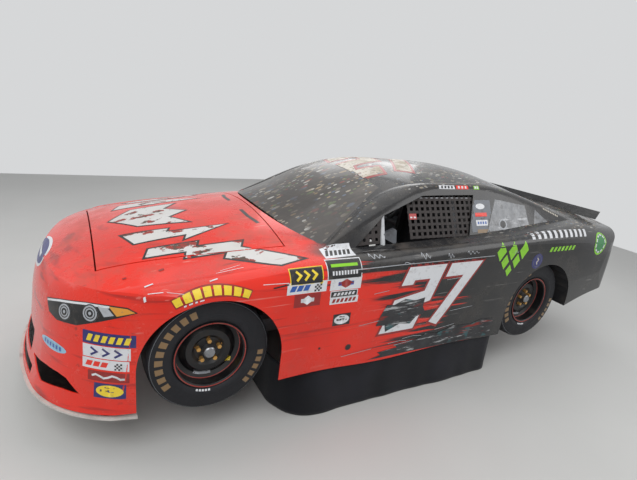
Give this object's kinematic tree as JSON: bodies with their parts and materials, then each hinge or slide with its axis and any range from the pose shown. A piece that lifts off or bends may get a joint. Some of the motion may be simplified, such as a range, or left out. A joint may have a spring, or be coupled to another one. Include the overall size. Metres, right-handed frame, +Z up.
{
  "type": "oval-track stock car on display stands",
  "caption": "Closed-wheel oval-track racing car with a sheet body over a tube chassis, hung by short stands inside a cloth skirt",
  "frame": {"origin": "on the floor under the middle of the car's length and width", "axes": "+X to the nose, +Y to the car's left, +Z up"},
  "size_m": [4.976, 1.9598, 1.5784],
  "materials": {
    "front_paint": "glossy red-orange wrap",
    "side_paint": "red fading to black, scratched",
    "rear_paint": "glossy black wrap",
    "splitter_blade": "worn white composite",
    "grille_mesh": "black mesh",
    "window": "scuffed polycarbonate",
    "webbing": "dark woven webbing",
    "cloth": "black woven cloth",
    "frame_paint": "grey satin chassis paint",
    "sheet": "painted sheet",
    "engine": "painted casting",
    "cooler": "bare core",
    "can": "black can",
    "dash_trim": "matte black",
    "seat_shell": "black composite",
    "steel": "bare steel",
    "grip": "black grip",
    "axle_iron": "black painted iron",
    "tyre": "racing slick, scuffed",
    "wheel_paint": "dark satin steel wheel",
    "stand_paint": "black satin",
    "wing": "smoked blade"
  },
  "bodies": {
    "chassis": {"nose_cover": "front_paint", "fender_left": "front_paint", "fender_right": "front_paint", "cowl": "front_paint", "side_left": "side_paint", "side_right": "side_paint", "quarter_left": "rear_paint", "quarter_right": "rear_paint", "tail_cover": "rear_paint", "deck_filler": "rear_paint", "roof": "rear_paint", "splitter": "splitter_blade", "grille": "grille_mesh", "windshield": "window", "rear_window": "window", "quarter_windows": "window", "window_net": "webbing", "frame_rails": "frame_paint", "front_clip": "frame_paint", "rear_clip": "frame_paint", "roll_cage": "frame_paint", "cage_halo": "frame_paint", "door_bars": "frame_paint", "rear_stays": "frame_paint", "nose_bars": "frame_paint", "floor_pan": "sheet", "firewall": "sheet", "rear_bulkhead": "sheet", "engine_block": "engine", "gearbox": "engine", "radiator": "cooler", "fuel_cell": "can", "dashboard": "dash_trim", "seat": "seat_shell", "steering_column": "steel", "rear_axle": "axle_iron", "drive_shaft": "steel", "truck_arms": "frame_paint", "springs": "steel", "front_arms": "axle_iron", "display_stands": "stand_paint", "skirt_cloth": "cloth"},
    "hood": {"hood": "front_paint"},
    "deck_lid": {"deck_lid": "rear_paint", "spoiler": "wing"},
    "steering_wheel": {"steering_wheel": "grip"},
    "steering_linkage": {"steering_linkage": "steel"},
    "knuckle_left": {"knuckle_left": "axle_iron"},
    "knuckle_right": {"knuckle_right": "axle_iron"},
    "wheel_fl": {"wheel_fl": "wheel_paint", "tyre_fl": "tyre"},
    "wheel_fr": {"wheel_fr": "wheel_paint", "tyre_fr": "tyre"},
    "wheel_rl": {"wheel_rl": "wheel_paint", "tyre_rl": "tyre"},
    "wheel_rr": {"wheel_rr": "wheel_paint", "tyre_rr": "tyre"}
  },
  "joints": [
    {"name": "steer_left", "type": "hinge", "parent": "chassis", "child": "knuckle_left", "pos_m": [1.506, 0.668, 0.563], "axis": [0, 0, 1], "range_deg": [-20, 20]},
    {"name": "steer_right", "type": "hinge", "parent": "chassis", "child": "knuckle_right", "pos_m": [1.506, -0.668, 0.563], "axis": [0, 0, 1], "range_deg": [-20, 20]},
    {"name": "steering_wheel_turn", "type": "hinge", "parent": "chassis", "child": "steering_wheel", "pos_m": [0.421, 0.395, 1.072], "axis": [-0.9307, 0.0422, 0.3633], "range_deg": [-240, 240]},
    {"name": "link_slide", "type": "slide", "parent": "chassis", "child": "steering_linkage", "axis": [0, 1, 0], "range_m": [-0.0482, 0.0482]},
    {"name": "hood_open", "type": "hinge", "parent": "chassis", "child": "hood", "pos_m": [1.026, 0, 1.23], "axis": [0, -1, 0], "range_deg": [0, 60]},
    {"name": "deck_lid_open", "type": "hinge", "parent": "chassis", "child": "deck_lid", "pos_m": [-1.84, 0, 1.288], "axis": [0, 1, 0], "range_deg": [0, 60]},
    {"name": "spin_fl", "type": "hinge", "parent": "knuckle_left", "child": "wheel_fl", "pos_m": [1.506, 0.775, 0.563], "axis": [0, 1, 0], "continuous": true},
    {"name": "spin_fr", "type": "hinge", "parent": "knuckle_right", "child": "wheel_fr", "pos_m": [1.506, -0.775, 0.563], "axis": [0, 1, 0], "continuous": true},
    {"name": "spin_rl", "type": "hinge", "parent": "chassis", "child": "wheel_rl", "pos_m": [-1.288, 0.775, 0.563], "axis": [0, 1, 0], "continuous": true},
    {"name": "spin_rr", "type": "hinge", "parent": "chassis", "child": "wheel_rr", "pos_m": [-1.288, -0.775, 0.563], "axis": [0, 1, 0], "continuous": true}
  ],
  "couplings": [
    {"joint": "steer_right", "follows": "steer_left", "ratio": 1},
    {"joint": "steering_wheel_turn", "follows": "steer_left", "ratio": 12},
    {"joint": "link_slide", "follows": "steer_left", "m_per_rad": 0.13717}
  ]
}
